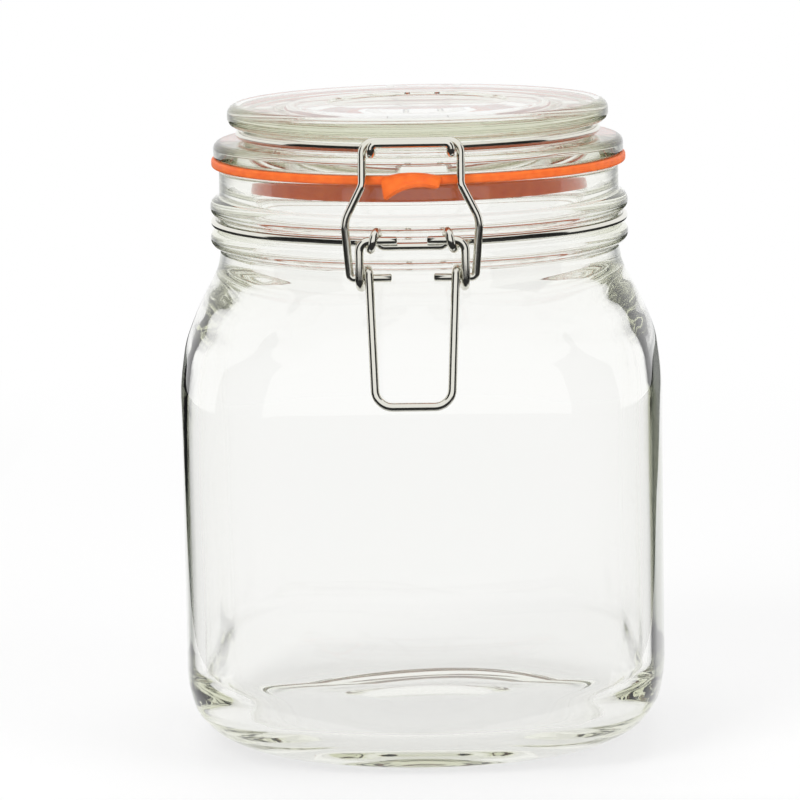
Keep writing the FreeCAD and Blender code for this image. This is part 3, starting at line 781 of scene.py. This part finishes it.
class CANISTER_OT_seal(bpy.types.Operator):
    """Models the rubber seal: a flat ring with rounded edges, a thin inner lip and a pull tongue"""
    bl_idname = "canister.seal"
    bl_label = "Rubber seal"

    def execute(self, context):
        seal = settings().seal
        low = JAR_BOX[1][2] + SEAL_GAP
        high = low + seal.thick - 2 * SEAL_GAP
        lip_low, lip_out = low - seal.lip, seal.inner + LIP_THICK
        middle = (seal.inner + seal.outer) / 2
        outline = rounded_outline([
            (middle, low, 0),
            (seal.outer, low, SEAL_ROUND),
            (seal.outer, high, SEAL_ROUND),
            (seal.inner, high, SEAL_ROUND),
            (seal.inner, lip_low, LIP_ROUND),
            (lip_out, lip_low, LIP_ROUND),
            (lip_out, low, LIP_ROUND),
            (middle, low, 0),
        ], SEAL_ARC_STEPS)
        ring = turned("seal_rubber", [(r, z, 0, 0) for r, z in outline], SEAL_STEPS)
        square_off(ring, 0)
        tongue = self.tongue(seal, low)
        choose(ring)
        union = ring.modifiers.new("join tongue", "BOOLEAN")
        union.operation = "UNION"
        union.object = tongue
        union.solver = "EXACT"
        bpy.ops.object.modifier_apply(modifier=union.name)
        bpy.data.objects.remove(tongue)
        bpy.ops.object.shade_smooth_by_angle(angle=SEAL_SMOOTH)
        dress(ring, orange_rubber, "lid", "rubber_seal")
        return {"FINISHED"}

    def tongue(self, seal, low):
        """The tongue as a bent, rounded plate that starts inside the ring."""
        bpy.ops.object.select_all(action="DESELECT")
        columns, rows = TONGUE_GRID
        bpy.ops.mesh.primitive_grid_add(x_subdivisions=columns, y_subdivisions=rows, size=2)
        tongue = bpy.context.view_layer.objects.active
        root = seal.outer - TONGUE_ROOT
        reach = seal.tongue_reach + TONGUE_ROOT
        middle = low + seal.thick / 2
        for vert in tongue.data.vertices:
            across, along = vert.co.x, (1 - vert.co.y) / 2
            taper = 1 - TONGUE_TAPER * along ** 2
            round_end = math.sqrt(max(1 - TONGUE_ROUND_END * abs(across) ** TONGUE_END_POWER, 0))
            depth = root + reach * along * (TONGUE_FLAT + (1 - TONGUE_FLAT) * round_end)
            depth -= root - math.sqrt(root ** 2 - (across * seal.tongue_half) ** 2)
            out = max(along - TONGUE_BEND_START, 0) / (1 - TONGUE_BEND_START)
            sag = seal.tongue_drop * out ** TONGUE_BEND_POWER
            sag *= TONGUE_MIDDLE_SAG + (1 - TONGUE_MIDDLE_SAG) * across ** 2
            arch = TONGUE_ARCH * math.sin(math.pi * min(along * TONGUE_ARCH_PACE, 1)) * (1 - across ** 2)
            lean = TONGUE_LEAN * out * across
            vert.co = (across * seal.tongue_half * taper, -depth, middle - sag + arch + lean)
        choose(tongue)
        plate = tongue.modifiers.new("thickness", "SOLIDIFY")
        plate.thickness = seal.thick * TONGUE_THICK_SHARE
        plate.offset = 0
        bpy.ops.object.modifier_apply(modifier=plate.name)
        soft = tongue.modifiers.new("soft edge", "BEVEL")
        soft.width = TONGUE_SOFT
        soft.segments = TONGUE_SOFT_STEPS
        soft.limit_method = "ANGLE"
        bpy.ops.object.modifier_apply(modifier=soft.name)
        return tongue


class CANISTER_OT_lid_band(bpy.types.Operator):
    """Models the lid's wire band with its catch hook and hinge bar"""
    bl_idname = "canister.lid_band"
    bl_label = "Lid band"

    def execute(self, context):
        wires = settings().wires
        lid = settings().lid
        flange_top, groove_top = lid_heights()[1:3]
        height = (flange_top + groove_top) / 2
        radius = lid.groove + wires.band / 2 + wires.play
        valley = flange_top + wires.band / 2 + wires.play
        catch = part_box("lid_band")
        catch_y = catch[0][1] + wires.band / 2
        catch_z = valley + CATCH_RISE
        half = [((HINGE_BAR_GAP, HINGE_AT.y, HINGE_AT.z), 0),
                ((ARM_X, HINGE_AT.y, HINGE_AT.z), BEND),
                ((ARM_X, lid.flange + ARM_CLEAR, max(height, valley)), BEND),
                ((ARM_X, ring_leave(radius, ARM_X), height), BEND)]
        half += ring_corners(radius, height)
        half += [((HOOK_X, -ring_leave(radius, HOOK_X), height), BEND),
                 ((HOOK_X, HOOK_STEP - lid.flange, valley), BEND),
                 ((HOOK_X, catch_y, valley), CATCH_BEND),
                 ((HOOK_X, catch_y, catch_z), CATCH_BEND)]
        piece = bent_wire("band_on_lid", mirrored(half), wires.band)
        dress(piece, plated_wire, "lid", "lid_band")
        return {"FINISHED"}


class CANISTER_OT_neck_band(bpy.types.Operator):
    """Models the neck's wire band with its hinge eyes and lever eyes"""
    bl_idname = "canister.neck_band"
    bl_label = "Neck band"

    def execute(self, context):
        wires = settings().wires
        jar = settings().jar
        height = jar.neck_low + BEAD_RISE + BEAD_SPACING / 2
        radius = jar.neck + wires.band / 2 + wires.play
        hinge_eye = wires.band + wires.play
        eye = wires.lever / 2 + wires.play + wires.band / 2
        leg = HINGE_AT.y - hinge_eye
        far_back = HINGE_AT.y + hinge_eye
        low_eye = HINGE_AT.z - hinge_eye
        top_eye = HINGE_AT.z + hinge_eye
        near, far = PIVOT_AT.y + eye, PIVOT_AT.y - eye
        low, high = PIVOT_AT.z - eye, PIVOT_AT.z + eye
        half = [((HINGE_EYE_X, HINGE_AT.y, low_eye), 0),
                ((HINGE_EYE_X, far_back, low_eye), hinge_eye),
                ((HINGE_EYE_X, far_back, top_eye), hinge_eye),
                ((HINGE_EYE_X, leg, top_eye), hinge_eye),
                ((HINGE_EYE_X, ring_leave(radius, HINGE_EYE_X), height), BEND)]
        half += ring_corners(radius, height)
        half += [((EYE_X, -ring_leave(radius, EYE_X), height), BEND),
                 ((EYE_X, near, low), BEND),
                 ((EYE_X - EYE_PITCH, far, low), eye),
                 ((EYE_X - 2 * EYE_PITCH, far, high), eye),
                 ((EYE_X - 3 * EYE_PITCH, near, high), eye),
                 ((EYE_X - 3 * EYE_PITCH, near, PIVOT_AT.z - EYE_TAIL), EYE_TAIL_BEND)]
        piece = bent_wire("band_on_neck", mirrored(half), wires.band)
        dress(piece, plated_wire, "jar", "neck_band")
        return {"FINISHED"}


class CANISTER_OT_bail(bpy.types.Operator):
    """Models the bail: pins, flared legs and the bar that sits in the catch hook"""
    bl_idname = "canister.bail"
    bl_label = "Catch bail"

    def execute(self, context):
        wires = settings().wires
        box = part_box("catch_bail")
        top_z = box[1][2] - wires.bail / 2
        top_y = box[1][1] - wires.bail / 2
        pin = BAIL_PIN_AT
        pin_x = LEVER_LEG_X + wires.lever / 2 + wires.bail / 2 + BAIL_SIDE_GAP
        neck_z = SEAL_BOX[1][2] - BAIL_NECK_DROP
        lean = (neck_z - pin.z) / (top_z - pin.z)
        half = [((BAIL_PIN_X, pin.y, pin.z), 0),
                ((pin_x, pin.y, pin.z), wires.bail / 2 + BAIL_PIN_EASE),
                ((pin_x + BAIL_FLARE, pin.y, pin.z + BAIL_FLARE_RISE), BAIL_FLARE_BEND),
                ((BAIL_TOP_X, pin.y + BAIL_NECK_LEAN * lean, neck_z), BAIL_NECK_BEND),
                ((BAIL_TOP_X, top_y, top_z), BAIL_TOP_BEND)]
        piece = bent_wire("bail_wire", mirrored(half), wires.bail)
        dress(piece, plated_wire, "bail", "catch_bail")
        return {"FINISHED"}


class CANISTER_OT_lever(bpy.types.Operator):
    """Models the closing lever: pivot pins, one coil round each bail pin and the handle"""
    bl_idname = "canister.lever"
    bl_label = "Closing lever"

    def execute(self, context):
        wires = settings().wires
        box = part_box("closing_lever")
        coil = wires.bail / 2 + wires.play + wires.lever / 2
        leg_x, pitch = LEVER_LEG_X, LEVER_COIL_PITCH
        low, high = BAIL_PIN_AT.z - coil, BAIL_PIN_AT.z + coil
        near, far = BAIL_PIN_AT.y + coil, BAIL_PIN_AT.y - coil
        handle_y = box[0][1] + wires.lever / 2
        handle_z = box[0][2] + wires.lever / 2
        half = [((LEVER_PIN_X, PIVOT_AT.y, PIVOT_AT.z), 0),
                ((leg_x, PIVOT_AT.y, PIVOT_AT.z), LEVER_BEND),
                ((leg_x, far, low), coil * COIL_EASE),
                ((leg_x - pitch * COIL_LOW_SHARE, near, low), coil),
                ((leg_x - pitch * COIL_HIGH_SHARE, near, high), coil),
                ((leg_x - pitch, far, high), coil * COIL_EASE),
                ((wires.handle_half, handle_y, handle_z), HANDLE_BEND)]
        piece = bent_wire("lever_wire", mirrored(half), wires.lever)
        dress(piece, plated_wire, "lever", "closing_lever")
        return {"FINISHED"}


class CANISTER_OT_stage(bpy.types.Operator):
    """Sets the white backdrop, pale floor, dark cards, soft lamps and the camera"""
    bl_idname = "canister.stage"
    bl_label = "Stage"

    def execute(self, context):
        scene = context.scene
        scene.view_settings.view_transform = "Standard"
        scene.cycles.max_bounces = scene.cycles.transmission_bounces = BOUNCES
        scene.cycles.glossy_bounces = GLOSS_BOUNCES
        self.backdrop(scene)
        self.floor()
        for card in CARDS:
            self.card(*card)
        for lamp in LAMPS:
            self.lamp(*lamp)
        self.camera(scene)
        return {"FINISHED"}

    def seen_or_lit(self, nodes, links, lit, seen):
        """Mixes a lit look for soft light with a seen look for camera, gloss and glass rays."""
        path = nodes.new("ShaderNodeLightPath").outputs
        first = math_node(nodes, links, "MAXIMUM", path["Is Camera Ray"], path["Is Glossy Ray"])
        second = math_node(nodes, links, "MAXIMUM", first, path["Is Transmission Ray"])
        mix = nodes.new("ShaderNodeMixShader")
        links.new(second, mix.inputs["Fac"])
        links.new(lit, mix.inputs[1])
        links.new(seen, mix.inputs[2])
        return mix.outputs[0]

    def backdrop(self, scene):
        """A white world that lights softly."""
        world = bpy.data.worlds.new("white_room")
        scene.world = world
        world.use_nodes = True
        nodes, links = world.node_tree.nodes, world.node_tree.links
        lit = nodes["Background"]
        lit.inputs["Color"].default_value = (*WHITE, 1)
        lit.inputs["Strength"].default_value = ROOM_LIGHT
        seen = nodes.new("ShaderNodeBackground")
        seen.inputs["Color"].default_value = (*WHITE, 1)
        seen.inputs["Strength"].default_value = 1.0
        shader = self.seen_or_lit(nodes, links, lit.outputs[0], seen.outputs[0])
        links.new(shader, nodes["World Output"].inputs["Surface"])

    def floor(self):
        """A wide pale floor that keeps the shadow near the object and is white far away."""
        bpy.ops.object.select_all(action="DESELECT")
        bpy.ops.mesh.primitive_plane_add(size=FLOOR_SIZE, location=(0, 0, -FLOOR_DROP))
        floor = bpy.context.view_layer.objects.active
        floor.name = "floor"
        material, nodes, links, shader = new_material("pale_floor")
        shader.inputs["Base Color"].default_value = (*FLOOR_TONE, 1)
        shader.inputs["Roughness"].default_value = FLOOR_ROUGH
        place = nodes.new("ShaderNodeTexCoord")
        away = nodes.new("ShaderNodeVectorMath")
        away.operation = "LENGTH"
        links.new(place.outputs["Object"], away.inputs[0])
        white = span_node(nodes, links, away.outputs["Value"], SHADOW_NEAR, SHADOW_FAR, NEAR_WHITE, 1.0)
        white.interpolation_type = "SMOOTHSTEP"
        glow = nodes.new("ShaderNodeEmission")
        glow.inputs["Strength"].default_value = 1.0
        both = nodes.new("ShaderNodeMixShader")
        links.new(white.outputs["Result"], both.inputs["Fac"])
        links.new(shader.outputs[0], both.inputs[1])
        links.new(glow.outputs[0], both.inputs[2])
        seen = self.seen_or_lit(nodes, links, shader.outputs[0], both.outputs[0])
        links.new(seen, nodes["Material Output"].inputs["Surface"])
        floor.data.materials.append(material)

    def card(self, name, place, size, tone, tilt, turn):
        """A dark card that shows only in reflections."""
        bpy.ops.object.select_all(action="DESELECT")
        angles = (math.radians(tilt), 0, math.radians(turn))
        bpy.ops.mesh.primitive_plane_add(size=1, location=place, rotation=angles)
        card = bpy.context.view_layer.objects.active
        card.name = name
        card.scale = (*size, 1)
        material, _, _, shader = new_material(name)
        shader.inputs["Base Color"].default_value = (tone, tone, tone, 1)
        shader.inputs["Roughness"].default_value = 1.0
        shader.inputs["Specular IOR Level"].default_value = 0.0
        card.data.materials.append(material)
        card.visible_camera = False
        card.visible_diffuse = False
        card.visible_shadow = False
        card.visible_transmission = False

    def lamp(self, name, place, size, power):
        """A soft square lamp that faces the object."""
        light = bpy.data.lights.new(name, "AREA")
        light.size = size
        light.energy = power
        lamp = bpy.data.objects.new(name, light)
        bpy.context.collection.objects.link(lamp)
        lamp.location = place
        aim = Vector(LAMP_AIM) - Vector(place)
        lamp.rotation_euler = aim.to_track_quat("-Z", "Y").to_euler()
        lamp.visible_transmission = False
        lamp.visible_glossy = False

    def camera(self, scene):
        """A long lens a little above the lid, at the photograph's viewing angle."""
        lens = bpy.data.cameras.new("camera")
        lens.sensor_width = CAMERA_SENSOR
        lens.lens = CAMERA_LENS
        lens.clip_end = CAMERA_FAR
        camera = bpy.data.objects.new("camera", lens)
        bpy.context.collection.objects.link(camera)
        camera.location = CAMERA_AT
        facing = Euler((math.pi / 2 - CAMERA_PITCH, 0, CAMERA_YAW)).to_matrix()
        camera.rotation_euler = (facing @ Matrix.Rotation(CAMERA_ROLL, 3, "Z")).to_euler()
        scene.camera = camera


class CANISTER_PT_panel(bpy.types.Panel):
    """Lists the canister's pieces and sizes"""
    bl_idname = "CANISTER_PT_panel"
    bl_label = "Clip-top canister"
    bl_space_type = "VIEW_3D"
    bl_region_type = "UI"
    bl_category = "Canister"

    def draw(self, context):
        for operator in OPERATORS:
            self.layout.operator(operator.bl_idname)
        for group in ("jar", "lid", "seal", "wires", "colours"):
            box = self.layout.box()
            values = getattr(context.scene.canister, group)
            for key in values.__annotations__:
                box.prop(values, key)


OPERATORS = (CANISTER_OT_jar, CANISTER_OT_lid, CANISTER_OT_seal, CANISTER_OT_lid_band, CANISTER_OT_neck_band,
             CANISTER_OT_bail, CANISTER_OT_lever, CANISTER_OT_stage)
CLASSES = (JarSizes, LidSizes, SealSizes, WireSizes, CanisterColours, CANISTER_PG_settings,
           *OPERATORS, CANISTER_PT_panel)


def register():
    """Adds the settings, operators and panel to Blender."""
    for cls in CLASSES:
        bpy.utils.register_class(cls)
    bpy.types.Scene.canister = bpy.props.PointerProperty(type=CANISTER_PG_settings)


def unregister():
    """Takes them out of Blender again."""
    del bpy.types.Scene.canister
    for cls in reversed(CLASSES):
        bpy.utils.unregister_class(cls)


def main():
    """Models each piece and the stage."""
    register()
    bpy.ops.canister.jar()
    bpy.ops.canister.lid()
    bpy.ops.canister.seal()
    bpy.ops.canister.lid_band()
    bpy.ops.canister.neck_band()
    bpy.ops.canister.bail()
    bpy.ops.canister.lever()
    bpy.ops.canister.stage()


if __name__ == "__main__":
    main()
